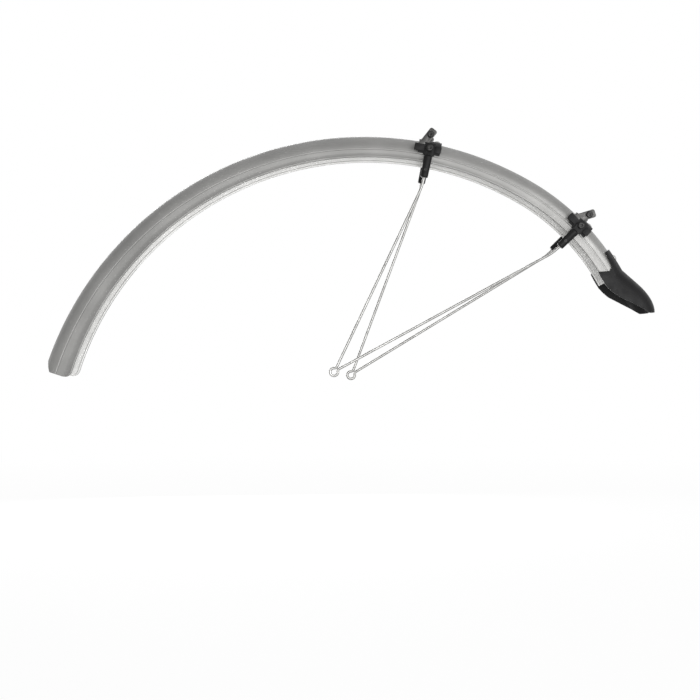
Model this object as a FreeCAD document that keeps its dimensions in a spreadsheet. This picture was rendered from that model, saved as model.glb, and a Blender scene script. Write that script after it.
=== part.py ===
import FreeCAD, Part
import math
import os
import Sketcher
from FreeCAD import Placement, Rotation, Vector

doc = FreeCAD.newDocument("mudguard")
sheet = doc.addObject("Spreadsheet::Sheet", "Sizes")

# Driving sizes in millimetres and degrees.
# Angles are measured about the wheel centre from the rear horizontal, upwards and forwards.
drivingSizes = {
    "crest_radius": 355.0,
    "blade_width": 45.0,
    "wall": 1.3,
    "crest_arc": 32.0,
    "shoulder_arc": 12.0,
    "front_end_angle": 162.3,
    "tail_start_angle": 60.0,
    "tail_radius": 255.0,
    "tail_end_angle": 28.6,
    "rear_depth": 22.3,
    "front_extra_depth": 6.4,
    "corner_fillet": 8.0,
    "hem_bead": 2.6,
    "hem_proud": 0.25,
    "hem_clear_angle": 3.0,
    "crease_depth": 15.6,
    "crease_radius": 1.3,
    "crease_sink": 0.35,
    "bolt_hole_angle": 159.5,
    "bolt_hole": 5.5,
    "front_bracket_angle": 78.6,
    "rear_bracket_angle": 44.3,
    "seat_gap": 0.05,
    "saddle_wall": 2.4,
    "saddle_length": 24.0,
    "saddle_depth": 13.0,
    "front_foot_length": 10.2,
    "rear_foot_length": 6.4,
    "foot_height": 7.0,
    "foot_wall": 5.6,
    "foot_round": 1.6,
    "boss_width": 11.6,
    "boss_depth": 16.0,
    "boss_proud": 1.5,
    "rivet_spacing": 15.0,
    "rivet_shank": 3.2,
    "rivet_head": 6.4,
    "rivet_rise": 1.5,
    "rivet_seat": 0.15,
    "lug_wall": 3.0,
    "screw_depth": 9.0,
    "screw_shank": 4.0,
    "screw_length": 6.4,
    "screw_head": 7.2,
    "screw_head_height": 2.3,
    "screw_socket": 2.5,
    "nut_flats": 7.0,
    "nut_height": 2.2,
    "nut_cover": 1.4,
    "holder_diameter": 8.5,
    "holder_end_diameter": 7.8,
    "holder_gap": 0.4,
    "holder_length": 31.0,
    "socket_depth": 22.0,
    "socket_gap": 0.05,
    "set_screw": 3.0,
    "set_screw_height": 8.0,
    "plate_width": 8.6,
    "plate_thickness": 1.5,
    "plate_length": 25.0,
    "plate_round": 2.2,
    "plate_lean": 27.0,
    "plate_forward": 10.4,
    "plate_drop": 10.8,
    "plate_offset": 2.1,
    "plate_hole_height": 18.6,
    "stay_wire": 2.8,
    "eye_bore": 5.3,
    "eye_flat": 0.1,
    "neck_arc": 2.8,
    "neck_gap": 0.3,
    "stay_bend": 60.0,
    "stay_straight": 9.0,
    "left_eye_forward": 31.6,
    "left_eye_height": 105.7,
    "right_eye_forward": 13.8,
    "right_eye_height": 101.5,
    "flare_angle": 29.5,
    "flap_wall": 2.0,
    "flap_gap": 0.1,
    "tongue_length": 26.0,
    "tongue_depth": 7.5,
    "flap_length": 54.5,
    "flap_depth": 31.8,
    "flare_rise": 12.9,
    "flare_side": 5.0,
    "barb_length": 16.5,
    "flap_rivet_back": 16.0,
    "flap_rivet_side": 8.0,
}
for row, (alias, value) in enumerate(drivingSizes.items(), 1):
    sheet.set("A%d" % row, alias)
    sheet.set("B%d" % row, str(value))
    sheet.setAlias("B%d" % row, alias)
doc.recompute()


def number(expression):
    """Value of an expression on the sheet."""
    return float(sheet.evalExpression(expression))


def size(alias):
    return number("Sizes." + alias)


def cosOf(alias):
    return "cos(Sizes.%s * 1 deg)" % alias


def sinOf(alias):
    return "sin(Sizes.%s * 1 deg)" % alias


# Places of the two arc centres. The origin is the bolt hole on the crest at the front end.
wheelX = "(-Sizes.crest_radius * %s)" % cosOf("bolt_hole_angle")
wheelZ = "(-Sizes.crest_radius * %s)" % sinOf("bolt_hole_angle")
tailShift = "(Sizes.crest_radius - Sizes.tail_radius)"
tailX = "(%s + %s * %s)" % (wheelX, tailShift, cosOf("tail_start_angle"))
tailZ = "(%s + %s * %s)" % (wheelZ, tailShift, sinOf("tail_start_angle"))


def place(item, centreX, centreZ, angleAlias):
    """Put an item's own origin on an arc centre, its Z axis along the ray at the angle."""
    item.Placement = Placement(Vector(0, 0, 0), Rotation(Vector(0, 1, 0), 30))
    item.setExpression("Placement.Base.x", centreX)
    item.setExpression("Placement.Base.z", centreZ)
    item.setExpression("Placement.Rotation.Angle", "(90 - Sizes.%s) * 1 deg" % angleAlias)


def addBody(label):
    body = doc.addObject("PartDesign::Body", label)
    body.Label = label
    return body


def addSketch(body, role, name, offset=None):
    """Sketch on one of the body's own origin planes, moved along its normal by an expression."""
    sketch = body.newObject("Sketcher::SketchObject", name)
    plane = [item for item in body.Origin.OriginFeatures if item.Role == role][0]
    sketch.AttachmentSupport = [(plane, "")]
    sketch.MapMode = "FlatFace"
    if offset is not None:
        sketch.setExpression("AttachmentOffset.Base.z", offset)
    return sketch


def bind(sketch, constraint, expression):
    index = sketch.addConstraint(constraint)
    sketch.setExpression("Constraints[%d]" % index, expression)


def arcBetween(start, end, radius, left):
    """Counter-clockwise arc through two points. left tells on which side of the chord it bulges."""
    chord = end.sub(start)
    middle = start.add(chord.multiply(0.5))
    half = start.distanceToPoint(end) / 2.0
    rise = math.sqrt(max(radius * radius - half * half, 0.0))
    along = end.sub(start).normalize()
    normal = Vector(-along.y, along.x, 0)
    centre = middle.sub(normal.multiply(rise if left else -rise))
    circle = Part.Circle(centre, Vector(0, 0, 1), radius)
    first, last = (end, start) if left else (start, end)
    firstAngle = math.atan2(first.y - centre.y, first.x - centre.x)
    lastAngle = math.atan2(last.y - centre.y, last.x - centre.x)
    return Part.ArcOfCircle(circle, firstAngle, lastAngle)


def drawOutline(sketch, points, closed=True):
    """Outline or open path. A point is (x, y), or (x, y, radius, left) where an arc runs to the next."""
    spots = [Vector(number(point[0]), number(point[1]), 0) for point in points]
    ends = []
    for index, point in enumerate(points if closed else points[:-1]):
        start = spots[index]
        end = spots[(index + 1) % len(spots)]
        if len(point) == 2:
            geometry = sketch.addGeometry(Part.LineSegment(start, end))
            ends.append((geometry, 1, 2))
        else:
            arc = arcBetween(start, end, number(point[2]), point[3])
            geometry = sketch.addGeometry(arc)
            bind(sketch, Sketcher.Constraint("Radius", geometry, number(point[2])), point[2])
            ends.append((geometry, 2, 1) if point[3] else (geometry, 1, 2))
    for index, point in enumerate(points):
        if index < len(ends):
            geometry, corner, _ = ends[index]
        else:
            geometry, _, corner = ends[-1]
        if closed or 0 < index < len(ends):
            before, _, lastPoint = ends[index - 1]
            sketch.addConstraint(Sketcher.Constraint("Coincident", before, lastPoint, geometry, corner))
        spot = spots[index]
        bind(sketch, Sketcher.Constraint("DistanceX", -1, 1, geometry, corner, spot.x), point[0])
        bind(sketch, Sketcher.Constraint("DistanceY", -1, 1, geometry, corner, spot.y), point[1])


def drawCircle(sketch, x, y, radius):
    spot = Vector(number(x), number(y), 0)
    geometry = sketch.addGeometry(Part.Circle(spot, Vector(0, 0, 1), number(radius)))
    bind(sketch, Sketcher.Constraint("Radius", geometry, number(radius)), radius)
    bind(sketch, Sketcher.Constraint("DistanceX", -1, 1, geometry, 3, spot.x), x)
    bind(sketch, Sketcher.Constraint("DistanceY", -1, 1, geometry, 3, spot.y), y)


def drawArch(sketch, crest, base, grow="0", half="Sizes.blade_width / 2",
             crestArc="Sizes.crest_arc", shoulderArc="Sizes.shoulder_arc"):
    """Filled arch: a crest arc, two shoulder arcs and two straight flanks down to the base."""
    side = "(%s + %s)" % (half, grow)
    broad = "(%s + %s)" % (crestArc, grow)
    tight = "(%s + %s)" % (shoulderArc, grow)
    top = "(%s + %s)" % (crest, grow)
    share = "((%s - %s) / (%s - %s))" % (side, tight, broad, tight)
    meetX = "(%s * %s)" % (broad, share)
    meetY = "(%s - %s + %s * sqrt(1 - %s ^ 2))" % (top, broad, broad, share)
    springY = "(%s - %s + (%s - %s) * sqrt(1 - %s ^ 2))" % (top, broad, broad, tight, share)
    drawOutline(sketch, [
        ("-" + side, base),
        ("-" + side, springY, tight, True),
        ("-" + meetX, meetY, broad, True),
        (meetX, meetY, tight, True),
        (side, springY),
        (side, base),
    ])


def revolve(body, sketch, kind, name, angle, backwards=False, both=False):
    """Turn a sketch about its own horizontal axis, which lies along the wheel axle."""
    feature = body.newObject("PartDesign::" + kind, name)
    feature.Profile = sketch
    feature.ReferenceAxis = (sketch, ["H_Axis"])
    feature.Reversed = backwards
    feature.Midplane = both
    feature.setExpression("Angle", angle)
    sketch.Visibility = False
    return feature


def extrude(body, sketch, kind, name, length, both=True, backwards=False):
    feature = body.newObject("PartDesign::" + kind, name)
    feature.Profile = sketch
    feature.setExpression("Length", length)
    if both:
        feature.Midplane = True
    feature.Reversed = backwards
    return feature


def combine(kind, label, base, tools):
    """Part boolean of a base with one or more tools, placed with its pieces."""
    if kind == "Part::MultiFuse":
        result = doc.addObject(kind, label)
        result.Shapes = [base] + tools
        result.Refine = True
    else:
        tool = tools[0]
        if len(tools) > 1:
            tool = doc.addObject("Part::MultiFuse", label + "_tools")
            tool.Shapes = tools
        result = doc.addObject(kind, label)
        result.Base = base
        result.Tool = tool
    result.Label = label
    return result


def addCylinder(name, radius, height):
    cylinder = doc.addObject("Part::Cylinder", name)
    cylinder.setExpression("Radius", radius)
    cylinder.setExpression("Height", height)
    return cylinder


# A station is an arc centre with the angle at which a group of pieces sits on the crest.
stations = {
    "front": (wheelX, wheelZ, "front_bracket_angle", "crest_radius"),
    "rear": (tailX, tailZ, "rear_bracket_angle", "tail_radius"),
    "flap": (tailX, tailZ, "flare_angle", "tail_radius"),
    "blade": (wheelX, wheelZ, "tail_start_angle", "crest_radius"),
    "tail": (tailX, tailZ, "tail_start_angle", "tail_radius"),
    "bolt": (wheelX, wheelZ, "bolt_hole_angle", "crest_radius"),
}
sides = {"left": -1, "right": 1}


def stationPlacement(station):
    """Placement of a station: origin on the arc centre, Z up through the crest."""
    centreX, centreZ, angleAlias, _ = stations[station]
    turn = Rotation(Vector(0, 1, 0), 90 - size(angleAlias))
    return Placement(Vector(number(centreX), 0, number(centreZ)), turn)


def stand(item, station, x, y, z, turn=None):
    """Place an item in a station's frame: x along the blade, y sideways, z from the arc centre."""
    local = Placement(Vector(number(x), number(y), number(z)), turn or Rotation())
    item.Placement = stationPlacement(station).multiply(local)
    return item


def standBody(body, station):
    centreX, centreZ, angleAlias, _ = stations[station]
    place(body, centreX, centreZ, angleAlias)
    return body


def crestOf(station):
    return "Sizes." + stations[station][3]


def turnedBody(label, points):
    """Solid of revolution about its own Z axis, from an outline of radius and height."""
    body = addBody(label)
    sketch = addSketch(body, "XZ_Plane", label + "_profile")
    drawOutline(sketch, points)
    feature = body.newObject("PartDesign::Revolution", label + "_turned")
    feature.Profile = sketch
    feature.ReferenceAxis = (sketch, ["V_Axis"])
    feature.Angle = 360.0
    return body


def hexagon(flats):
    """Corner points of a hexagon, given across its flats, with two flats along x."""
    corner = "(%s / sqrt(3))" % flats
    half = "(%s / 2)" % flats
    return [
        (corner, "0 * " + half),
        ("%s / 2" % corner, half),
        ("-%s / 2" % corner, half),
        ("-" + corner, "0 * " + half),
        ("-%s / 2" % corner, "-" + half),
        ("%s / 2" % corner, "-" + half),
    ]


def addScrew(label, length):
    """Pan head socket screw: bearing face at z = 0, head above it and shank below it."""
    tip = "-(%s)" % length
    head = "Sizes.screw_head / 2"
    crown = "Sizes.screw_head_height"
    body = turnedBody(label, [
        ("0", tip),
        ("Sizes.screw_shank / 2", tip),
        ("Sizes.screw_shank / 2", "0"),
        (head, "0"),
        (head, crown + " * 0.6"),
        (head + " * 0.75", crown),
        ("0", crown),
    ])
    socket = addSketch(body, "XY_Plane", label + "_socket", crown)
    drawOutline(socket, hexagon("Sizes.screw_socket"))
    extrude(body, socket, "Pocket", label + "_recess", crown + " * 0.7", both=False)
    return body


def addNut(label):
    body = addBody(label)
    sketch = addSketch(body, "XY_Plane", label + "_hexagon")
    drawOutline(sketch, hexagon("Sizes.nut_flats"))
    drawCircle(sketch, "0", "0", "Sizes.screw_shank / 2")
    extrude(body, sketch, "Pad", label + "_pad", "Sizes.nut_height", both=False)
    return body


halfWidth = "Sizes.blade_width / 2"
drillDepth = "(Sizes.saddle_wall + 2 * Sizes.wall)"


def onCrest(item, station, along, across):
    """Seat an item on the blade's outer surface, its Z axis along the surface's normal."""
    arc = size("crest_arc")
    reach = number(crestOf(station))
    lean = math.asin(number(across) / arc)
    roll = Rotation(Vector(0, 1, 0), math.degrees(number(along) / reach))
    seat = Vector(0, number(across), reach - arc * (1 - math.cos(lean)))
    normal = Rotation(Vector(1, 0, 0), -math.degrees(lean))
    item.Placement = stationPlacement(station).multiply(Placement(Vector(), roll)).multiply(Placement(seat, normal))
    return item


def drill(name, station, radius, along, across):
    """Drill through the crest, as long again inside as outside."""
    tool = addCylinder(name, radius, "2 * " + drillDepth)
    onCrest(tool, station, along, across)
    tool.Placement = tool.Placement.multiply(Placement(Vector(0, 0, -number(drillDepth)), Rotation()))
    return tool


# Blade: a thin arched channel on two tangent arcs, creased along each flank.
def channel(label, station, base, angle, backwards):
    crest = crestOf(station)
    body = addBody(label)
    skin = addSketch(body, "YZ_Plane", label + "_section")
    drawArch(skin, crest, base)
    revolve(body, skin, "Revolution", label + "_skin", angle, backwards)
    hollow = addSketch(body, "YZ_Plane", label + "_hollow_section")
    drawArch(hollow, crest, "(%s - Sizes.wall)" % base, "(-Sizes.wall)")
    revolve(body, hollow, "Groove", label + "_hollow", angle, backwards)
    crease = addSketch(body, "YZ_Plane", label + "_crease_section")
    creaseY = "(%s + Sizes.crease_radius - Sizes.crease_sink)" % halfWidth
    creaseZ = "%s - Sizes.crease_depth" % crest
    drawCircle(crease, creaseY, creaseZ, "Sizes.crease_radius")
    drawCircle(crease, "-" + creaseY, creaseZ, "Sizes.crease_radius")
    revolve(body, crease, "Groove", label + "_crease", angle, backwards)
    return standBody(body, station)


# The wheel arc's flanks end on a circle struck about a centre nearer the tail, so they deepen forwards.
trimRadius = "(Sizes.crest_radius - Sizes.rear_depth - Sizes.front_extra_depth)"
wheelBase = "(Sizes.crest_radius - Sizes.rear_depth - 2 * Sizes.front_extra_depth)"
wheelSweep = "(Sizes.front_end_angle - Sizes.tail_start_angle)"
tailSweep = "(Sizes.tail_start_angle - Sizes.tail_end_angle)"
wheelArc = channel("wheel_arc", "blade", wheelBase, wheelSweep, True)
trim = addSketch(wheelArc, "XZ_Plane", "flank_trim")
drawCircle(trim, "0", "Sizes.front_extra_depth", trimRadius)
extrude(wheelArc, trim, "Pocket", "flank_trim_cut", "2 * Sizes.blade_width")
tailArc = channel("tail_arc", "tail", "(Sizes.tail_radius - Sizes.rear_depth)", tailSweep, False)
doc.recompute()


def frontCorners(body):
    """Names of the short edges across the flanks where the front end meets their lower edge."""
    names = []
    lowest = number(wheelBase) + 2 * size("front_extra_depth")
    for index, edge in enumerate(body.Tip.Shape.Edges, 1):
        corners = [vertex.Point for vertex in edge.Vertexes]
        if len(corners) < 2 or abs(corners[0].x - corners[1].x) + abs(corners[0].z - corners[1].z) > 0.01:
            continue
        radius = math.hypot(corners[0].x, corners[0].z)
        angle = math.degrees(math.atan2(-corners[0].x, corners[0].z))
        if abs(angle - number(wheelSweep)) < 0.01 and radius < lowest:
            names.append("Edge%d" % index)
    return names


trimmed = wheelArc.Tip
cornerEdges = frontCorners(wheelArc)
rounding = wheelArc.newObject("PartDesign::Fillet", "front_corners")
rounding.Base = (trimmed, cornerEdges)
rounding.setExpression("Radius", "Sizes.corner_fillet")


def hemBead(name, station, side, centreZ, radius, sweep, forwards):
    """Rolled bead along a flank's lower edge: an eight-sided section turned about the edge's own centre."""
    body = addBody(name)
    section = addSketch(body, "YZ_Plane", name + "_section")
    centreY = "(%d * (%s - Sizes.hem_bead / 2 + Sizes.hem_proud))" % (side, halfWidth)
    corner = "(Sizes.hem_bead / 2 / cos(22.5 deg))"
    points = []
    for index in range(8):
        turn = 22.5 + 45 * index
        points.append(("%s + %s * cos(%s deg)" % (centreY, corner, turn),
                       "%s + %s * sin(%s deg)" % (radius, corner, turn)))
    drawOutline(section, points)
    revolve(body, section, "Revolution", name + "_roll", sweep, forwards)
    return stand(body, station, "0", "0", centreZ)


wheelHem = "(%s - Sizes.hem_clear_angle)" % wheelSweep
tailHem = "(Sizes.tail_start_angle - Sizes.flare_angle - 2 * Sizes.hem_clear_angle)"
beads = []
for sideName, side in sides.items():
    beads.append(hemBead("wheel_hem_" + sideName, "blade", side, "Sizes.front_extra_depth",
                         trimRadius, wheelHem, True))
    beads.append(hemBead("tail_hem_" + sideName, "tail", side, "0",
                         "(Sizes.tail_radius - Sizes.rear_depth)", tailHem, False))
bladeSkin = combine("Part::MultiFuse", "blade_skin", wheelArc, [tailArc] + beads)

rivetSpots = {
    "front_bracket": [("front", way + "Sizes.rivet_spacing / 2", "0") for way in ("-", "")],
    "rear_bracket": [("rear", way + "Sizes.rivet_spacing / 2", "0") for way in ("-", "")],
    "flap": [("flap", "-Sizes.flap_rivet_back", way + "Sizes.flap_rivet_side") for way in ("-", "")],
}


def rivetDrills(owner, user):
    """Drills for an owner's rivets, named after the piece that they pass through."""
    return [drill("%s_%s_drill_%d" % (user, owner, index), station, "Sizes.rivet_shank / 2", along, across)
            for index, (station, along, across) in enumerate(rivetSpots[owner])]


bladeDrills = [drill("bolt_drill", "bolt", "Sizes.bolt_hole / 2", "0", "0")]
for owner in rivetSpots:
    bladeDrills += rivetDrills(owner, "blade")
blade = combine("Part::Cut", "blade", bladeSkin, bladeDrills)


# Saddle brackets: a moulded band over the crest with feet and a holder boss on each flank.
bossFace = "(%s + Sizes.saddle_wall + Sizes.boss_proud)" % halfWidth
footFace = "(%s + Sizes.foot_wall)" % halfWidth
plateFace = "(%s + Sizes.plate_offset)" % halfWidth
staySide = "(%s + Sizes.holder_gap + Sizes.holder_diameter / 2)" % halfWidth


def roundedBlock(sketch, inner, outer, low, high, way):
    """Block seen from the side, from its inner to its outer end, with the outer lower corner rounded."""
    soft = "Sizes.foot_round"
    near = "%s%s" % (way, inner)
    far = "%s%s" % (way, outer)
    drawOutline(sketch, [
        (near, low),
        ("%s(%s - %s)" % (way, outer, soft), low, soft, way == "-"),
        (far, "%s + %s" % (low, soft)),
        (far, high),
        (near, high),
    ])


def plateTurn(side):
    return Rotation(Vector(0, 1, 0), size("plate_lean"))


def addPlate(label, grow="0"):
    """Stamped steel plate standing up from its foot, with a screw hole near its outer end."""
    half = "(Sizes.plate_width / 2 + %s)" % grow
    top = "(Sizes.plate_length + %s)" % grow
    soft = "Sizes.plate_round"
    body = addBody(label)
    sketch = addSketch(body, "XZ_Plane", label + "_outline")
    drawOutline(sketch, [
        ("-" + half, "-(%s)" % grow),
        (half, "-(%s)" % grow),
        (half, "%s - %s" % (top, soft), soft, False),
        ("%s - %s" % (half, soft), top),
        ("-%s + %s" % (half, soft), top, soft, False),
        ("-" + half, "%s - %s" % (top, soft)),
    ])
    if grow == "0":
        drawCircle(sketch, "0", "Sizes.plate_hole_height", "Sizes.screw_shank / 2")
    extrude(body, sketch, "Pad", label + "_pad", "(Sizes.plate_thickness + 2 * %s)" % grow)
    return body


def standPlate(item, station, side):
    y = "%d * (%s + Sizes.plate_thickness / 2)" % (side, plateFace)
    z = "%s - Sizes.plate_drop" % crestOf(station)
    return stand(item, station, "-Sizes.plate_forward", y, z, plateTurn(side))


def acrossTurn(side):
    """Turn that points an item's Z axis outwards across the blade on the given side."""
    return Rotation(Vector(1, 0, 0), -90 * side)


def addSaddle(label, station):
    crest = crestOf(station)
    foot = "(%s - Sizes.saddle_depth)" % crest
    footTop = "(%s + Sizes.foot_height)" % foot
    body = addBody(label + "_mould")
    band = addSketch(body, "YZ_Plane", label + "_band_section")
    drawArch(band, crest, "(%s + Sizes.foot_round)" % foot, "(Sizes.seat_gap + Sizes.saddle_wall)")
    revolve(body, band, "Revolution", label + "_band",
            "(Sizes.saddle_length / %s * 180 / 3.14159265)" % crest, both=True)
    feet = addSketch(body, "XZ_Plane", label + "_feet_outline")
    slot = "Sizes.boss_width / 2"
    roundedBlock(feet, slot, "(%s + Sizes.front_foot_length)" % slot, foot, footTop, "-")
    roundedBlock(feet, slot, "(%s + Sizes.rear_foot_length)" % slot, foot, footTop, "")
    extrude(body, feet, "Pad", label + "_feet", "2 * " + footFace)
    boss = addSketch(body, "XZ_Plane", label + "_boss_outline")
    bossTop = "(%s - Sizes.screw_depth + Sizes.boss_width / 2)" % crest
    bossLow = "(%s - Sizes.boss_depth)" % crest
    drawOutline(boss, [("-" + slot, bossLow), (slot, bossLow), (slot, bossTop), ("-" + slot, bossTop)])
    extrude(body, boss, "Pad", label + "_boss", "2 * " + bossFace)
    standBody(body, station)
    seat = addBody(label + "_seat")
    seatSection = addSketch(seat, "YZ_Plane", label + "_seat_section")
    drawArch(seatSection, crest, "(%s - 2 * Sizes.boss_depth)" % crest, "Sizes.seat_gap")
    revolve(seat, seatSection, "Revolution", label + "_seat_sweep",
            "(3 * Sizes.saddle_length / %s * 180 / 3.14159265)" % crest, both=True)
    tools = [standBody(seat, station)] + rivetDrills(label, label)
    for sideName, side in sides.items():
        slotBody = addPlate("%s_%s_plate_slot" % (label, sideName), "Sizes.seat_gap")
        tools.append(standPlate(slotBody, station, side))
        pocket = addBody("%s_%s_nut_pocket" % (label, sideName))
        hexSketch = addSketch(pocket, "XY_Plane", label + sideName + "_pocket_hexagon")
        drawOutline(hexSketch, hexagon("(Sizes.nut_flats + 2 * Sizes.seat_gap)"))
        extrude(pocket, hexSketch, "Pad", label + sideName + "_pocket_pad", "2 * Sizes.nut_height", both=False,
                backwards=True)
        screwZ = "%s - Sizes.screw_depth" % crest
        coverY = "%d * (%s - Sizes.nut_cover)" % (side, bossFace)
        tools.append(stand(pocket, station, "0", coverY, screwZ, acrossTurn(side)))
        hole = addCylinder("%s_%s_screw_drill" % (label, sideName), "Sizes.screw_shank / 2", "Sizes.screw_length")
        holeY = "%d * (%s - Sizes.screw_length + Sizes.lug_wall)" % (side, bossFace)
        tools.append(stand(hole, station, "0", holeY, screwZ, acrossTurn(side)))
    return combine("Part::Cut", label, body, tools)


def addRivet(name, outerWall):
    """Domed rivet: its head on the outer wall, its shank through the blade, an upset head inside."""
    inside = "-(Sizes.wall + Sizes.rivet_seat)"
    return turnedBody(name, [
        ("0", inside + " - Sizes.rivet_rise / 2"),
        ("Sizes.rivet_head * 0.45", inside + " - Sizes.rivet_rise / 2"),
        ("Sizes.rivet_head * 0.45", inside),
        ("Sizes.rivet_shank / 2", inside),
        ("Sizes.rivet_shank / 2", outerWall),
        ("Sizes.rivet_head / 2", outerWall),
        ("Sizes.rivet_head * 0.4", outerWall + " + Sizes.rivet_rise * 0.6"),
        ("Sizes.rivet_head * 0.2", outerWall + " + Sizes.rivet_rise"),
        ("0", outerWall + " + Sizes.rivet_rise"),
    ])


def rivetGroup(label, owner, outerWall):
    """The rivets of one owner, as separate solids under one name."""
    rivets = []
    for index, (station, along, across) in enumerate(rivetSpots[owner]):
        rivets.append(onCrest(addRivet("%s_%d" % (label, index), outerWall), station, along, across))
    group = doc.addObject("Part::Compound", label)
    group.Label = label
    group.Links = rivets
    return group


# Stay holders: a flat lug on the boss and a tapered sleeve below it, in a frame on the stay's axis.
mouthDepth = "(Sizes.screw_depth + Sizes.holder_length)"
lugInner = "(%s - %s)" % (bossFace, staySide)


def addHolder(label):
    wide = "Sizes.holder_diameter / 2"
    narrow = "Sizes.holder_end_diameter / 2"
    sleeveTop = "(%s - Sizes.boss_depth - Sizes.holder_gap)" % mouthDepth
    body = addBody(label + "_mould")
    sleeve = addSketch(body, "XZ_Plane", label + "_sleeve_profile")
    drawOutline(sleeve, [
        ("0", "0"),
        (narrow + " - Sizes.stay_wire / 4", "0"),
        (narrow, "Sizes.stay_wire / 4"),
        (wide, sleeveTop + " - Sizes.stay_wire / 2"),
        (wide + " - Sizes.stay_wire / 2", sleeveTop),
        ("0", sleeveTop),
    ])
    feature = body.newObject("PartDesign::Revolution", label + "_sleeve")
    feature.Profile = sleeve
    feature.ReferenceAxis = (sleeve, ["V_Axis"])
    feature.Angle = 360.0
    lug = addSketch(body, "XZ_Plane", label + "_lug_outline", "-" + lugInner)
    drawOutline(lug, [
        ("-" + wide, "(%s - Sizes.socket_depth * 0.2)" % sleeveTop),
        (wide, "(%s - Sizes.socket_depth * 0.2)" % sleeveTop),
        (wide, "Sizes.holder_length", wide, False),
        ("0", "Sizes.holder_length + " + wide, wide, False),
        ("-" + wide, "Sizes.holder_length"),
    ])
    extrude(body, lug, "Pad", label + "_lug", "Sizes.lug_wall", both=False, backwards=True)
    bore = addSketch(body, "XY_Plane", label + "_socket_circle")
    drawCircle(bore, "0", "0", "Sizes.stay_wire / 2 + Sizes.socket_gap")
    extrude(body, bore, "Pocket", label + "_socket", "Sizes.socket_depth", both=False, backwards=True)
    screwHole = addSketch(body, "XZ_Plane", label + "_screw_circle")
    drawCircle(screwHole, "0", "Sizes.holder_length", "Sizes.screw_shank / 2")
    extrude(body, screwHole, "Pocket", label + "_screw_hole", "4 * Sizes.holder_diameter")
    setHole = addSketch(body, "XZ_Plane", label + "_set_screw_circle")
    drawCircle(setHole, "0", "Sizes.set_screw_height", "Sizes.set_screw / 2")
    extrude(body, setHole, "Pocket", label + "_set_screw_hole", "Sizes.holder_diameter", both=False)
    return body


def holderTurn(side):
    return Rotation(Vector(0, 0, 1), 0 if side > 0 else 180)


def addSetScrew(label):
    """Headless screw that bears on the stay, its axis pointing out of the holder along Z."""
    body = turnedBody(label, [
        ("0", "0"),
        ("Sizes.set_screw / 2", "0"),
        ("Sizes.set_screw / 2", "Sizes.set_screw * 0.85"),
        ("0", "Sizes.set_screw * 0.85"),
    ])
    socket = addSketch(body, "XY_Plane", label + "_socket", "Sizes.set_screw * 0.85")
    drawOutline(socket, hexagon("Sizes.set_screw / 2"))
    extrude(body, socket, "Pocket", label + "_recess", "Sizes.set_screw / 2", both=False)
    return body


# Pieces of each bracket, on both sides.
nodes = [blade]
for station in ("front", "rear"):
    crest = crestOf(station)
    bracket = station + "_bracket"
    nodes.append(addSaddle(bracket, station))
    nodes.append(rivetGroup(bracket + "_rivets", bracket, "(Sizes.seat_gap + Sizes.saddle_wall)"))
    for sideName, side in sides.items():
        stem = "%s_%s_" % (station, sideName)
        holder = addHolder(stem + "stay_holder")
        holder.Label = stem + "stay_holder"
        mouthZ = "%s - %s" % (crest, mouthDepth)
        stand(holder, station, "0", "%d * %s" % (side, staySide), mouthZ, holderTurn(side))
        screw = addScrew(stem + "holder_screw", "Sizes.screw_length")
        screwY = "%d * (%s + Sizes.lug_wall)" % (side, bossFace)
        stand(screw, station, "0", screwY, "%s - Sizes.screw_depth" % crest, acrossTurn(side))
        nut = addNut(stem + "holder_nut")
        nutY = "%d * (%s - Sizes.nut_cover - Sizes.nut_height)" % (side, bossFace)
        stand(nut, station, "0", nutY, "%s - Sizes.screw_depth" % crest, acrossTurn(side))
        setScrew = addSetScrew(stem + "set_screw")
        setY = "%d * (%s + Sizes.stay_wire / 2 + Sizes.socket_gap)" % (side, staySide)
        stand(setScrew, station, "0", setY, "%s + Sizes.set_screw_height" % mouthZ, acrossTurn(side))
        plate = standPlate(addPlate(stem + "plate"), station, side)
        reach = size("plate_hole_height")
        lean = math.radians(size("plate_lean"))
        holeX = "-Sizes.plate_forward + %s" % (reach * math.sin(lean))
        holeZ = "%s - Sizes.plate_drop + %s" % (crest, reach * math.cos(lean))
        plateScrew = addScrew(stem + "plate_screw", "Sizes.plate_thickness + Sizes.nut_height * 1.3")
        stand(plateScrew, station, holeX, "%d * (%s + Sizes.plate_thickness)" % (side, plateFace), holeZ,
              acrossTurn(side))
        plateNut = addNut(stem + "plate_nut")
        stand(plateNut, station, holeX, "%d * (%s - Sizes.nut_height)" % (side, plateFace), holeZ,
              acrossTurn(side))
        nodes += [holder, screw, nut, setScrew, plate, plateScrew, plateNut]


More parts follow.
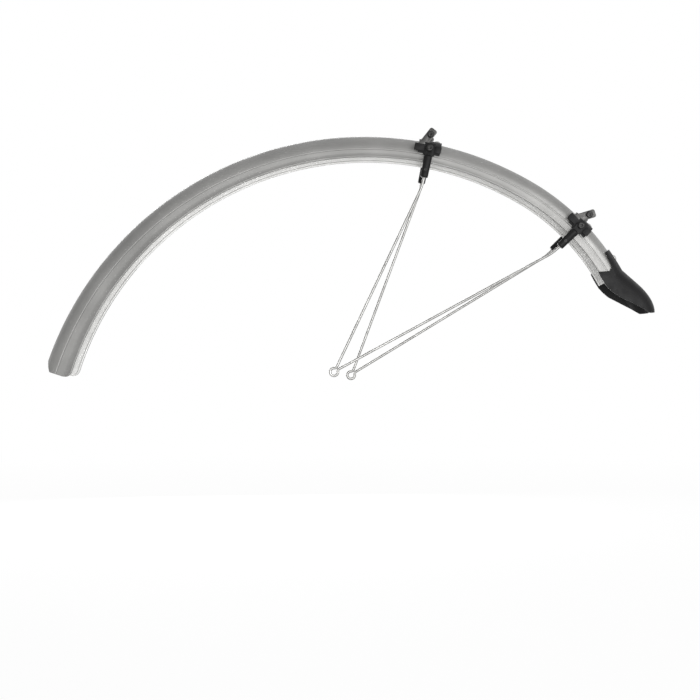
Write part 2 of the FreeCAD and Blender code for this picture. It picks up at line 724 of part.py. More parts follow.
# Stays: one wire per side, from holder to holder round a sprung eye, each in its front holder's frame.
def stayPath(eyeX, eyeZ):
    """Points of the wire's centre line in the frame of its front end, as drawOutline takes them."""
    eye = Vector(eyeX, eyeZ, 0)
    wire = size("stay_wire")
    loop = (size("eye_bore") + wire) / 2
    neck = size("neck_arc")
    bend = size("stay_bend")
    wheel = Vector(number(wheelX), number(wheelZ), 0)
    legs = []
    for station in ("front", "rear"):
        centreX, centreZ, angleAlias, radiusAlias = stations[station]
        centre = Vector(number(centreX), number(centreZ), 0).sub(wheel)
        angle = math.radians(size(angleAlias))
        axis = Vector(math.cos(angle), math.sin(angle), 0)
        mouth = size(radiusAlias) - number(mouthDepth)
        end = centre + axis * (mouth + size("socket_depth") - size("neck_gap"))
        corner = centre + axis * (mouth - size("stay_straight"))
        legs.append((end, corner, axis))
    toCorner = [leg[1].sub(eye) for leg in legs]
    bearings = [math.atan2(way.y, way.x) for way in toCorner]
    middle = (bearings[0] + bearings[1]) / 2
    half = (bearings[0] - bearings[1]) / 2
    opening = math.asin((neck + (wire + size("neck_gap")) / 2) / (loop + neck))
    halves = []
    for way in toCorner:
        slope = half
        for step in range(6):
            offset = (loop + neck) * math.sin(opening - slope) - neck
            slope = half - math.asin(offset / way.Length)
        halves.append(slope)

    def atEye(side, along, out):
        """Point near the eye: along the middle line between the legs, out towards one leg."""
        ahead = Vector(math.cos(middle), math.sin(middle), 0)
        across = Vector(-ahead.y, ahead.x, 0)
        return eye + ahead * along + across * (out * side)

    path = []
    for side, slope, (end, corner, axis) in ((1, halves[0], legs[0]), (-1, halves[1], legs[1])):
        neckStart = atEye(side, loop * math.cos(opening), loop * math.sin(opening))
        neckX = (loop + neck) * math.cos(opening) + neck * math.sin(slope)
        neckY = (loop + neck) * math.sin(opening) - neck * math.cos(slope)
        neckEnd = atEye(side, neckX, neckY)
        legWay = corner.sub(neckEnd).normalize()
        turning = math.acos(max(-1.0, min(1.0, legWay.dot(axis))))
        tangent = bend * math.tan(turning / 2)
        path.append([end, corner + axis * tangent, corner - legWay * tangent, neckEnd, neckStart])
    back = atEye(1, -loop, 0)
    front, rear = path
    order = [
        (front[0],), (front[1], bend, True), (front[2],), (front[3], neck, True),
        (front[4], loop, False), (back, loop, False), (rear[4], neck, True), (rear[3],),
        (rear[2], bend, False), (rear[1],), (rear[0],),
    ]
    axis = legs[0][2]
    points = []
    for spot, *arc in order:
        away = spot.sub(front[0])
        point = ["%.7f" % (away.x * axis.y - away.y * axis.x), "%.7f" % away.dot(axis)]
        if arc:
            point += ["%.7f" % arc[0], arc[1]]
        points.append(tuple(point))
    return points


def addStay(label, side, eyeX, eyeZ):
    body = addBody(label + "_wire")
    path = addSketch(body, "XZ_Plane", label + "_path")
    drawOutline(path, stayPath(eyeX, eyeZ), closed=False)
    section = addSketch(body, "XY_Plane", label + "_section")
    drawCircle(section, "0", "0", "Sizes.stay_wire / 2")
    pipe = body.newObject("PartDesign::AdditivePipe", label + "_pipe")
    pipe.Profile = section
    pipe.Spine = (path, [])
    wireEnd = "%s - %s + Sizes.socket_depth - Sizes.neck_gap" % (crestOf("front"), mouthDepth)
    stand(body, "front", "0", "%d * %s" % (side, staySide), wireEnd)
    mandrel = addCylinder(label + "_mandrel", "Sizes.eye_bore / 2 + Sizes.eye_flat", "2 * Sizes.stay_wire")
    eyePlace = Vector(number(wheelX) + eyeX, side * number(staySide) + size("stay_wire"), number(wheelZ) + eyeZ)
    mandrel.Placement = Placement(eyePlace, Rotation(Vector(1, 0, 0), 90))
    return combine("Part::Cut", label, body, [mandrel])


nodes.append(addStay("left_stay", -1, -size("left_eye_forward"), size("left_eye_height")))
nodes.append(addStay("right_stay", 1, -size("right_eye_forward"), size("right_eye_height")))


# Flap: a sleeve over the blade's tail that flares into a scoop, with a tongue along the crest.
flapCrest = crestOf("flap")
flapBase = "(%s - 2 * Sizes.flap_depth)" % flapCrest
flapSkin = "(Sizes.flap_gap + Sizes.flap_wall)"
# Each rib of the scoop: share of the flap's length, of the flare's rise and of its widening.
scoopRibs = [(0.0, 0.0, 0.0), (0.26, 0.45, 0.4), (0.52, 0.85, 0.8), (0.78, 1.0, 1.0), (1.07, 0.56, 0.7)]


def scoopLoft(body, kind, grow):
    """Loft of arches that rise and widen away from the crest, grown to the outer or the inner skin."""
    sections = []
    for index, (along, rise, widen) in enumerate(scoopRibs):
        offset = "Sizes.flap_length * %s" % along
        section = addSketch(body, "YZ_Plane", "%s_rib_%d" % (kind.split("::")[1], index), offset)
        lift = "(Sizes.flare_rise - %s) * %s" % (flapSkin, rise)
        spread = "Sizes.flare_side * %s" % widen
        drawArch(section, "(%s + %s)" % (flapCrest, lift), flapBase, grow,
                 "(%s + %s)" % (halfWidth, spread), "(Sizes.crest_arc + 5 * %s)" % spread,
                 "(Sizes.shoulder_arc + %s / 2)" % spread)
        sections.append(section)
    loft = body.newObject(kind, kind.split("::")[1])
    loft.Profile = sections[0]
    loft.Sections = sections[1:]
    return loft


def addFlap():
    body = addBody("flap_mould")
    turn = "((Sizes.tongue_length + Sizes.flap_wall) / Sizes.tail_radius * 180 / 3.14159265)"
    sleeve = addSketch(body, "YZ_Plane", "sleeve_section")
    drawArch(sleeve, flapCrest, flapBase, flapSkin)
    revolve(body, sleeve, "Revolution", "sleeve", turn, True)
    scoopLoft(body, "PartDesign::AdditiveLoft", flapSkin)
    hollow = addSketch(body, "YZ_Plane", "sleeve_hollow_section")
    drawArch(hollow, flapCrest, "(%s - Sizes.flap_wall)" % flapBase, "Sizes.flap_gap")
    revolve(body, hollow, "Groove", "sleeve_hollow", turn, True)
    scoopLoft(body, "PartDesign::SubtractiveLoft", "Sizes.flap_gap")
    standBody(body, "flap")
    outline = addBody("flap_outline")
    shape = addSketch(outline, "XZ_Plane", "flap_side_outline")

    def at(along, depth, *arc):
        return (along, "%s - (%s)" % (flapCrest, depth)) + arc

    soft = "Sizes.flap_wall"
    low = "Sizes.flap_depth"
    drawOutline(shape, [
        at("-Sizes.tongue_length", "-2 * Sizes.flare_rise"),
        at("-Sizes.tongue_length", "Sizes.tongue_depth - " + soft, soft, False),
        at("-Sizes.tongue_length + " + soft, "Sizes.tongue_depth"),
        at("-Sizes.barb_length * 0.6", "Sizes.tongue_depth + 1", "6 * " + soft, True),
        at("-Sizes.barb_length * 0.4", "Sizes.tongue_depth + 3 * " + soft),
        at("-Sizes.barb_length * 0.76", low + " - 3 * " + soft),
        at("-Sizes.barb_length", low + " - " + soft, "0.8 * " + soft, False),
        at("-Sizes.barb_length + 0.8 * " + soft, low),
        at("0", low, "15 * " + soft, False),
        at("Sizes.flap_length * 0.36", "0.83 * " + low),
        at("Sizes.flap_length * 0.79", "0.34 * " + low, "25 * " + soft, False),
        at("Sizes.flap_length", "-0.5 * Sizes.flare_rise", soft, False),
        at("Sizes.flap_length - " + soft, "-0.5 * Sizes.flare_rise - " + soft),
        at("Sizes.flap_length - " + soft, "-2 * Sizes.flare_rise"),
    ])
    extrude(outline, shape, "Pad", "flap_outline_pad", "4 * Sizes.blade_width")
    standBody(outline, "flap")
    trimmed = combine("Part::Common", "flap_trimmed", body, [outline])
    return combine("Part::Cut", "flap", trimmed, rivetDrills("flap", "flap"))


nodes.append(addFlap())
nodes.append(rivetGroup("flap_rivets", "flap", flapSkin))

doc.recompute()
for item in doc.Objects:
    if "Invalid" in item.State or "Error" in item.State:
        raise RuntimeError("%s did not build" % item.Name)
os.makedirs("parts", exist_ok=True)
for node in nodes:
    if node.Shape.isNull() or not node.Shape.isValid():
        raise RuntimeError("%s has no valid shape" % node.Label)
    node.Shape.exportStep("parts/%s.step" % node.Label)
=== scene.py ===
import math

import bmesh
import bpy
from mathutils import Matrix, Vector


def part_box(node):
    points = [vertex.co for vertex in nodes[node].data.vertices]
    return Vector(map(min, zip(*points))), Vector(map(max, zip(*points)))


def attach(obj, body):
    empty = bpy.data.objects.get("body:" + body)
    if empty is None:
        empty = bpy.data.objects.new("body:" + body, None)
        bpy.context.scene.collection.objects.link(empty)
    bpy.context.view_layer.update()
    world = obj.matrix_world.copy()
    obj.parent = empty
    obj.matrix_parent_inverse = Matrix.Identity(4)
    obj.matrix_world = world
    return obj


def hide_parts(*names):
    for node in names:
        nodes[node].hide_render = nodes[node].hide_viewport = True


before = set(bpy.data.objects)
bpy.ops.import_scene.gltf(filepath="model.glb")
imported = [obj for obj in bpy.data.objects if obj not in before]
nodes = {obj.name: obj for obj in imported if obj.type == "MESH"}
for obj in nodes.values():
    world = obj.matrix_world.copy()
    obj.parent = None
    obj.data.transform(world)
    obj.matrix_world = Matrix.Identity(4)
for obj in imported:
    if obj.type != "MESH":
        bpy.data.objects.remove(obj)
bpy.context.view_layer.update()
print("frame loaded with", len(nodes), "nodes")

arcs = {
    "boltAngle": 159.5,      # degrees up from the rear horizontal, about the wheel's centre
    "wheelRadius": 0.355,    # crest over the wheel, metres
    "tailRadius": 0.255,     # tighter crest towards the flap
    "tailStart": 60.0,
}


def polar(centre, radius, angle):
    turn = math.radians(angle)
    return centre + Vector((math.cos(turn), 0, math.sin(turn))) * radius


wheelCentre = polar(Vector((0, 0, 0)), -arcs["wheelRadius"], arcs["boltAngle"])
tailCentre = polar(wheelCentre, arcs["wheelRadius"] - arcs["tailRadius"], arcs["tailStart"])


def clearSelection():
    if bpy.context.mode != "OBJECT":
        bpy.ops.object.mode_set(mode="OBJECT")
    bpy.ops.object.select_all(action="DESELECT")


def pick(piece):
    clearSelection()
    piece.select_set(True)
    bpy.context.view_layer.objects.active = piece


def applyModifier(piece, kind, **settings):
    pick(piece)
    modifier = piece.modifiers.new(kind.lower(), kind)
    for name, value in settings.items():
        setattr(modifier, name, value)
    bpy.ops.object.modifier_apply(modifier=modifier.name)


def settle(piece):
    # Leaves the place in the mesh and the object at the origin.
    pick(piece)
    bpy.ops.object.transform_apply(location=True, rotation=True, scale=True)


def selectAllIn(piece):
    pick(piece)
    bpy.ops.object.mode_set(mode="EDIT")
    bpy.ops.mesh.select_all(action="SELECT")


def facesOutwards(piece):
    selectAllIn(piece)
    bpy.ops.mesh.remove_doubles(threshold=0.000002)
    bpy.ops.mesh.normals_make_consistent(inside=False)
    bpy.ops.object.mode_set(mode="OBJECT")


def smoothByAngle(piece, degrees):
    pick(piece)
    bpy.ops.object.shade_smooth_by_angle(angle=math.radians(degrees))


def wear(piece, material, nodeName):
    piece.data.materials.clear()
    piece.data.materials.append(material)
    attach(piece, "root")
    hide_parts(nodeName)


# Materials: each has a colour that drifts a little, a roughness that varies and a fine bump.
def newMaterial(name):
    material = bpy.data.materials.new(name)
    material.use_nodes = True
    tree = material.node_tree
    shader = tree.nodes["Principled BSDF"]
    return material, tree, shader


def noiseNode(tree, scale, detail=3.0, roughness=0.55, stretch=(1, 1, 1)):
    place = tree.nodes.new("ShaderNodeTexCoord")
    mapping = tree.nodes.new("ShaderNodeMapping")
    mapping.inputs["Scale"].default_value = stretch
    noise = tree.nodes.new("ShaderNodeTexNoise")
    noise.inputs["Scale"].default_value = scale
    noise.inputs["Detail"].default_value = detail
    noise.inputs["Roughness"].default_value = roughness
    tree.links.new(place.outputs["Object"], mapping.inputs["Vector"])
    tree.links.new(mapping.outputs["Vector"], noise.inputs["Vector"])
    return noise


def rampNode(tree, source, stops):
    ramp = tree.nodes.new("ShaderNodeValToRGB")
    elements = ramp.color_ramp.elements
    while len(elements) < len(stops):
        elements.new(0.5)
    for element, (position, colour) in zip(elements, stops):
        element.position = position
        element.color = (colour, colour, colour, 1) if isinstance(colour, float) else (*colour, 1)
    tree.links.new(source, ramp.inputs["Fac"])
    return ramp


def bumpNode(tree, shader, height, strength, distance):
    bump = tree.nodes.new("ShaderNodeBump")
    bump.inputs["Strength"].default_value = strength
    bump.inputs["Distance"].default_value = distance
    tree.links.new(height, bump.inputs["Height"])
    tree.links.new(bump.outputs["Normal"], shader.inputs["Normal"])


def grainedMaterial(name, look):
    material, tree, shader = newMaterial(name)
    shader.inputs["Metallic"].default_value = look["metallic"]
    if "specular" in look:
        shader.inputs["Specular IOR Level"].default_value = look["specular"]
    drift = noiseNode(tree, look["driftScale"], detail=4.0)
    colours = rampNode(tree, drift.outputs["Fac"], [(0.32, look["dark"]), (0.68, look["light"])])
    tree.links.new(colours.outputs["Color"], shader.inputs["Base Color"])
    patches = noiseNode(tree, look["patchScale"], detail=5.0, roughness=0.6)
    sheen = rampNode(tree, patches.outputs["Fac"], [(0.3, look["smooth"]), (0.7, look["rough"])])
    tree.links.new(sheen.outputs["Color"], shader.inputs["Roughness"])
    grain = noiseNode(tree, look["grainScale"], detail=2.0, roughness=0.5,
                      stretch=look.get("stretch", (1, 1, 1)))
    bumpNode(tree, shader, grain.outputs["Fac"], look["grain"], look["grainDepth"])
    return material


satinLook = {
    "metallic": 0.40, "dark": (0.172, 0.171, 0.166), "light": (0.232, 0.230, 0.224),
    "driftScale": 14.0, "patchScale": 60.0, "smooth": 0.34, "rough": 0.46,
    "grainScale": 2600.0, "grain": 0.10, "grainDepth": 0.0001,
}
# Paler copy of the blade's satin for the inner faces: painted brightness standing in for the light
# they reflect.
paintedBrightInsideLook = {
    "metallic": 0.20, "dark": (0.540, 0.538, 0.528), "light": (0.640, 0.638, 0.628),
    "driftScale": 18.0, "patchScale": 70.0, "smooth": 0.40, "rough": 0.55,
    "grainScale": 2400.0, "grain": 0.10, "grainDepth": 0.0001,
}
mouldLook = {
    "metallic": 0.0, "dark": (0.0028, 0.0028, 0.0030), "light": (0.0055, 0.0055, 0.0058),
    "driftScale": 60.0, "patchScale": 180.0, "smooth": 0.44, "rough": 0.62, "specular": 0.16,
    "grainScale": 2300.0, "grain": 0.35, "grainDepth": 0.00008,
}
flapLook = {
    "metallic": 0.0, "dark": (0.0026, 0.0026, 0.0028), "light": (0.0060, 0.0060, 0.0063),
    "driftScale": 38.0, "patchScale": 120.0, "smooth": 0.40, "rough": 0.58, "specular": 0.16,
    "grainScale": 1900.0, "grain": 0.40, "grainDepth": 0.0001,
}
wireLook = {
    "metallic": 0.9, "dark": (0.22, 0.218, 0.212), "light": (0.33, 0.328, 0.320),
    "driftScale": 90.0, "patchScale": 240.0, "smooth": 0.26, "rough": 0.40,
    "grainScale": 900.0, "grain": 0.10, "grainDepth": 0.00005,
}
plateLook = {
    "metallic": 0.8, "dark": (0.042, 0.042, 0.041), "light": (0.075, 0.074, 0.072),
    "driftScale": 120.0, "patchScale": 300.0, "smooth": 0.36, "rough": 0.54,
    "grainScale": 900.0, "grain": 0.25, "grainDepth": 0.00006, "stretch": (1, 1, 6),
}
zincLook = {
    "metallic": 0.75, "dark": (0.012, 0.012, 0.012), "light": (0.030, 0.0297, 0.029),
    "driftScale": 220.0, "patchScale": 420.0, "smooth": 0.32, "rough": 0.5,
    "grainScale": 1400.0, "grain": 0.2, "grainDepth": 0.00005,
}
rivetLook = {
    "metallic": 0.85, "dark": (0.40, 0.398, 0.39), "light": (0.52, 0.518, 0.51),
    "driftScale": 200.0, "patchScale": 380.0, "smooth": 0.34, "rough": 0.46,
    "grainScale": 1500.0, "grain": 0.15, "grainDepth": 0.00005,
}
satin = grainedMaterial("satinBlade", satinLook)
satinInside = grainedMaterial("satinInside", paintedBrightInsideLook)
blackMould = grainedMaterial("blackMould", mouldLook)
blackFlap = grainedMaterial("blackFlap", flapLook)
stainless = grainedMaterial("stainlessWire", wireLook)
pressedSteel = grainedMaterial("pressedSteel", plateLook)
zincSteel = grainedMaterial("zincSteel", zincLook)
rivetAlloy = grainedMaterial("rivetAlloy", rivetLook)
print("materials made")


# Blade: one closed sheet section, spun round the wheel arc and on round the tail arc.
bladeSizes = {
    "half": 0.0225, "wall": 0.0013,
    "crestArc": 0.032, "shoulderArc": 0.012,
    "creaseDepth": 0.0156, "creaseRadius": 0.0013, "creaseSink": 0.00035, "creaseReach": 0.00089,
    "beadRadius": 0.0013, "beadProud": 0.00025, "rearDepth": 0.0223,
    "extraDepth": 0.0064, "cornerRound": 0.008,
    "shiftBelowCrease": 0.0012, "shiftAboveEdge": 0.0014,
    "frontEnd": 162.3, "tailEnd": 28.6,
    "cornerTurn": 1.6,                       # finely stepped stretch at the rounded front corners
    "cornerSteps": 12, "wheelSteps": 100, "tailSteps": 32,
    "crestSteps": 9, "shoulderSteps": 8, "creaseSteps": 3, "rollSteps": 14,
    "boltHole": 0.00275, "boltCut": 0.012, "boltSides": 40,
    "notchWidth": 0.041, "notchDepth": 0.012, "notchCut": 0.03, "notchSides": 128,
    "smooth": 34,
}


def sheetSide(sizes, inset, depthEnd):
    # Half section from the crest down one flank, as (sideways, depth) pairs.
    half = sizes["half"] - inset
    broad = sizes["crestArc"] - inset
    tight = sizes["shoulderArc"] - inset
    share = (half - tight) / (broad - tight)
    meet = math.asin(share)
    spots = []
    for step in range(sizes["crestSteps"]):
        turn = meet * step / sizes["crestSteps"]
        spots.append((broad * math.sin(turn), inset + broad - broad * math.cos(turn)))
    hubAside = (broad - tight) * math.sin(meet)
    hubDepth = inset + broad - (broad - tight) * math.cos(meet)
    for step in range(sizes["shoulderSteps"]):
        turn = meet + (math.pi / 2 - meet) * step / sizes["shoulderSteps"]
        spots.append((hubAside + tight * math.sin(turn), hubDepth - tight * math.cos(turn)))
    reach, groove = sizes["creaseReach"], sizes["creaseRadius"]
    for step in range(-sizes["creaseSteps"], sizes["creaseSteps"] + 1):
        away = reach * step / sizes["creaseSteps"]
        sink = math.sqrt(groove ** 2 - away ** 2) - groove + sizes["creaseSink"]
        spots.append((half - max(sink, 0.0), sizes["creaseDepth"] + away))
    spots.append((half, 0.5 * (sizes["creaseDepth"] + reach + depthEnd)))
    spots.append((half, depthEnd))
    return spots


def bladeSection(sizes):
    bead = sizes["beadRadius"]
    hub = sizes["half"] - bead + sizes["beadProud"]
    outerTurn = math.acos((sizes["half"] - hub) / bead)
    innerTurn = math.acos((sizes["half"] - sizes["wall"] - hub) / bead)
    outer = sheetSide(sizes, 0.0, sizes["rearDepth"] - bead * math.sin(outerTurn))
    inner = sheetSide(sizes, sizes["wall"], sizes["rearDepth"] - bead * math.sin(innerTurn))
    roll = []
    sweep = outerTurn + 2 * math.pi - innerTurn
    for step in range(1, sizes["rollSteps"]):
        turn = outerTurn - sweep * step / sizes["rollSteps"]
        roll.append((hub + bead * math.cos(turn), sizes["rearDepth"] - bead * math.sin(turn)))
    right = outer + roll + inner[::-1]
    left = [(-aside, depth) for aside, depth in right[1:-1]][::-1]
    return right + left


def ringPiece(name, spots):
    clearSelection()
    bpy.ops.mesh.primitive_circle_add(vertices=len(spots), radius=0.01, fill_type="NOTHING")
    piece = bpy.context.object
    piece.name = name
    for vertex, spot in zip(piece.data.vertices, spots):
        vertex.co = spot
    return piece


def spinOn(centre, degrees, steps):
    bpy.ops.mesh.spin(steps=steps, angle=-math.radians(degrees), center=centre, axis=(0, 1, 0))


def capEnds(piece):
    pick(piece)
    bpy.ops.object.mode_set(mode="EDIT")
    bpy.ops.mesh.select_all(action="DESELECT")
    bpy.ops.mesh.select_mode(type="EDGE")
    bpy.ops.mesh.select_non_manifold(extend=False)
    shell = bmesh.from_edit_mesh(piece.data)
    rims = [edge for edge in shell.edges if edge.select]
    middle = sum(edge.verts[0].co.x for edge in rims) / len(rims)
    for isFirst in (True, False):            # the front end's rim, then the tail's
        for edge in shell.edges:
            edge.select_set(False)
        for edge in rims:
            edge.select_set((edge.verts[0].co.x < middle) == isFirst)
        bmesh.update_edit_mesh(piece.data)
        bpy.ops.mesh.edge_face_add()
        shell = bmesh.from_edit_mesh(piece.data)
        rims = [edge for edge in shell.edges if len(edge.link_faces) == 1]
    bpy.ops.object.mode_set(mode="OBJECT")


def flankShift(sizes, angle, depth):
    # How far the flank's lower part moves inwards, deeper to the front and rounded at its corner.
    local = math.radians(angle - arcs["tailStart"])
    trim = arcs["wheelRadius"] - sizes["rearDepth"] - sizes["extraDepth"]
    edge = sizes["extraDepth"] * math.cos(local)
    edge += math.sqrt(trim ** 2 - (sizes["extraDepth"] * math.sin(local)) ** 2)
    extra = arcs["wheelRadius"] - edge - sizes["rearDepth"]
    fromEnd = math.radians(sizes["frontEnd"] - angle) * edge
    soft = sizes["cornerRound"]
    if fromEnd < soft:
        extra -= soft - math.sqrt(max(soft ** 2 - (soft - fromEnd) ** 2, 0.0))
    start = sizes["creaseDepth"] + sizes["shiftBelowCrease"]
    run = sizes["rearDepth"] - sizes["shiftAboveEdge"] - start
    return extra * min(max((depth - start) / run, 0.0), 1.0)


def cutRound(piece, place, angle, radius, depth, sides):
    # Round cut through the sheet, its axis along the ray at the angle.
    clearSelection()
    bpy.ops.mesh.primitive_cylinder_add(vertices=sides, radius=radius, depth=depth, location=place,
                                        rotation=(0, math.radians(90 - angle), 0))
    cutter = bpy.context.object
    applyModifier(piece, "BOOLEAN", operation="DIFFERENCE", solver="EXACT", object=cutter)
    bpy.data.objects.remove(cutter)


def makeBlade(sizes):
    front = sizes["frontEnd"]
    spots = []
    for aside, depth in bladeSection(sizes):
        spot = polar(wheelCentre, arcs["wheelRadius"] - depth, front)
        spots.append((spot.x, aside, spot.z))
    piece = ringPiece("bladeSheet", spots)
    bpy.ops.object.mode_set(mode="EDIT")
    bpy.ops.mesh.select_all(action="SELECT")
    spinOn(wheelCentre, sizes["cornerTurn"], sizes["cornerSteps"])
    spinOn(wheelCentre, front - arcs["tailStart"] - sizes["cornerTurn"], sizes["wheelSteps"])
    spinOn(tailCentre, arcs["tailStart"] - sizes["tailEnd"], sizes["tailSteps"])
    bpy.ops.object.mode_set(mode="OBJECT")
    for vertex in piece.data.vertices:
        flat = Vector((vertex.co.x - wheelCentre.x, 0, vertex.co.z - wheelCentre.z))
        angle = math.degrees(math.atan2(flat.z, flat.x))
        if angle > arcs["tailStart"]:
            shift = flankShift(sizes, angle, arcs["wheelRadius"] - flat.length)
            vertex.co -= flat.normalized() * shift
    capEnds(piece)
    facesOutwards(piece)
    cutRound(piece, polar(wheelCentre, arcs["wheelRadius"], arcs["boltAngle"]), arcs["boltAngle"],
             sizes["boltHole"], sizes["boltCut"], sizes["boltSides"])
    # The front end is hollowed in plan, deepest on the crest and running out on the shoulders.
    deep = sizes["notchDepth"]
    broad = (sizes["notchWidth"] ** 2 / 4 + deep ** 2) / (2 * deep)
    onwards = polar(Vector((0, 0, 0)), broad - deep, front + 90)
    cutRound(piece, polar(wheelCentre, arcs["wheelRadius"], front) + onwards, front,
             broad, sizes["notchCut"], sizes["notchSides"])
    smoothByAngle(piece, sizes["smooth"])
    return piece


def paintInsideBrighter(piece, material, sizes):
    # The inner faces look towards the middle of the channel and get a paler copy of the satin,
    # painted brightness standing in for the light they reflect.
    piece.data.materials.append(material)
    for face in piece.data.polygons:
        flat = Vector((face.center.x - wheelCentre.x, 0, face.center.z - wheelCentre.z))
        middle = wheelCentre + flat.normalized() * (arcs["wheelRadius"] - sizes["creaseDepth"])
        if math.degrees(math.atan2(flat.z, flat.x)) < arcs["tailStart"]:
            flat = Vector((face.center.x - tailCentre.x, 0, face.center.z - tailCentre.z))
            middle = tailCentre + flat.normalized() * (arcs["tailRadius"] - sizes["creaseDepth"])
        if face.normal.dot(face.center - middle) < 0:
            face.material_index = 1


blade = makeBlade(bladeSizes)
wear(blade, satin, "blade")
# The inner faces get the paler copy of the satin, painted brightness in place of reflected light.
paintInsideBrighter(blade, satinInside, bladeSizes)
print("blade made")


# Stays: a wire ring pushed along straight runs and spun round bends, neck and eye.
staySizes = {
    "wire": 0.0014, "sides": 16,
    "eye": 0.00405, "neck": 0.0028, "neckGap": 0.0003,
    "bend": 0.060, "straight": 0.009, "mouthDepth": 0.040, "socket": 0.022,
    "aside": 0.02715,
    "frontHolder": (wheelCentre, arcs["wheelRadius"], 78.6),
    "rearHolder": (tailCentre, arcs["tailRadius"], 44.3),
    "eyes": {"leftStay": (-0.0316, 0.1057, -1), "rightStay": (-0.0138, 0.1015, 1)},
    "bendSteps": 10, "neckSteps": 8, "eyeSteps": 44, "smooth": 50,
}


def stayLegs(sizes, eye):
    # Where each leg of the wire starts, bends and meets its neck, in the plane of the eye.
    legs = []
    for centre, radius, angle in (sizes["frontHolder"], sizes["rearHolder"]):
        axis = polar(Vector((0, 0, 0)), 1, angle)
        mouth = radius - sizes["mouthDepth"]
        legs.append((centre + axis * (mouth + sizes["socket"] - sizes["neckGap"]),
                     centre + axis * (mouth - sizes["straight"]), axis))
    ways = [leg[1] - eye for leg in legs]
    bearings = [math.atan2(way.z, way.x) for way in ways]
    middle = (bearings[0] + bearings[1]) / 2
    half = (bearings[0] - bearings[1]) / 2
    loop, neck = sizes["eye"], sizes["neck"]
    opening = math.asin((neck + sizes["wire"] + sizes["neckGap"] / 2) / (loop + neck))
    ahead = Vector((math.cos(middle), 0, math.sin(middle)))
    across = Vector((-ahead.z, 0, ahead.x))
    route = []
    for side, (end, corner, axis), way in ((1, legs[0], ways[0]), (-1, legs[1], ways[1])):
        slope = half
        for step in range(6):
            offset = (loop + neck) * math.sin(opening - slope) - neck
            slope = half - math.asin(offset / way.length)
        hub = eye + ahead * (loop + neck) * math.cos(opening)
        hub += across * side * (loop + neck) * math.sin(opening)
        neckEnd = hub + (ahead * math.sin(slope) - across * side * math.cos(slope)) * neck
        legWay = (corner - neckEnd).normalized()
        turning = math.acos(max(-1.0, min(1.0, legWay.dot(axis))))
        tangent = sizes["bend"] * math.tan(turning / 2)
        route.append({"end": end, "axis": axis, "bendTop": corner + axis * tangent,
                      "bendFoot": corner - legWay * tangent, "turning": turning, "legWay": legWay,
                      "neckEnd": neckEnd, "hub": hub, "neckTurn": math.pi / 2 - opening + slope})
    return route, opening


def bendCentre(start, heading, radius, rightHand):
    normal = Vector((heading.z, 0, -heading.x))
    return start + normal * (radius if rightHand else -radius)


def pushTo(offset):
    bpy.ops.mesh.extrude_region_move(TRANSFORM_OT_translate={"value": offset})


def makeStay(name, sizes):
    eyeX, eyeZ, side = sizes["eyes"][name]
    eye = wheelCentre + Vector((eyeX, side * sizes["aside"], eyeZ))
    flatEye = Vector((eye.x, 0, eye.z))
    (front, rear), opening = stayLegs(sizes, flatEye)
    level = Vector((0, eye.y, 0))
    clearSelection()
    tilt = Vector((0, 0, 1)).rotation_difference(front["axis"]).to_euler()
    bpy.ops.mesh.primitive_circle_add(vertices=sizes["sides"], radius=sizes["wire"],
                                      fill_type="NGON", location=front["end"] + level,
                                      rotation=tilt)
    piece = bpy.context.object
    piece.name = name
    settle(piece)
    bpy.ops.object.mode_set(mode="EDIT")
    bpy.ops.mesh.select_all(action="SELECT")
    pushTo(front["bendTop"] - front["end"])
    hub = bendCentre(front["bendTop"], -front["axis"], sizes["bend"], True)
    spinOn(hub + level, math.degrees(front["turning"]), sizes["bendSteps"])
    pushTo(front["neckEnd"] - front["bendFoot"])
    spinOn(front["hub"] + level, math.degrees(front["neckTurn"]), sizes["neckSteps"])
    spinOn(flatEye + level, -(360 - 2 * math.degrees(opening)), sizes["eyeSteps"])
    spinOn(rear["hub"] + level, math.degrees(rear["neckTurn"]), sizes["neckSteps"])
    pushTo(rear["bendFoot"] - rear["neckEnd"])
    hub = bendCentre(rear["bendFoot"], rear["legWay"], sizes["bend"], False)
    spinOn(hub + level, -math.degrees(rear["turning"]), sizes["bendSteps"])
    pushTo(rear["end"] - rear["bendTop"])
    bpy.ops.object.mode_set(mode="OBJECT")
    facesOutwards(piece)
    smoothByAngle(piece, sizes["smooth"])
    return piece


for stayName, nodeName in (("leftStay", "left_stay"), ("rightStay", "right_stay")):
    stay = makeStay(stayName, staySizes)
    low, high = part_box(nodeName)
    spots = [vertex.co for vertex in stay.data.vertices]
    rearwards = abs(max(spot.x for spot in spots) - high.x)
    downwards = abs(min(spot.z for spot in spots) - low.z)
    print(stayName, "ends within", round(1000 * max(rearwards, downwards), 3), "mm")
    wear(stay, stainless, nodeName)
print("stays made")


# Flap: its side outline in (along, depth) pairs from the flare's ray, from the tongue down
# round the barb, along the lower edge and past the tip.
flapSizes = {
    "flareAngle": 29.5, "reach": 0.12,
    "outline": [
        (-0.0270, -0.030), (-0.0270, 0.0085), (-0.0264, 0.0099), (-0.0250, 0.0105),
        (-0.0095, 0.0140), (-0.0082, 0.0150), (-0.0078, 0.0168),
        (-0.0155, 0.0222), (-0.0153, 0.0236), (-0.0140, 0.0243),
        (-0.0070, 0.0248), (0.0000, 0.0247), (0.0060, 0.0243), (0.0130, 0.0224),
        (0.0196, 0.0197), (0.0300, 0.0127), (0.0430, 0.0040), (0.0520, -0.0010),
        (0.0640, -0.0060), (0.0740, -0.0300),
    ],
}


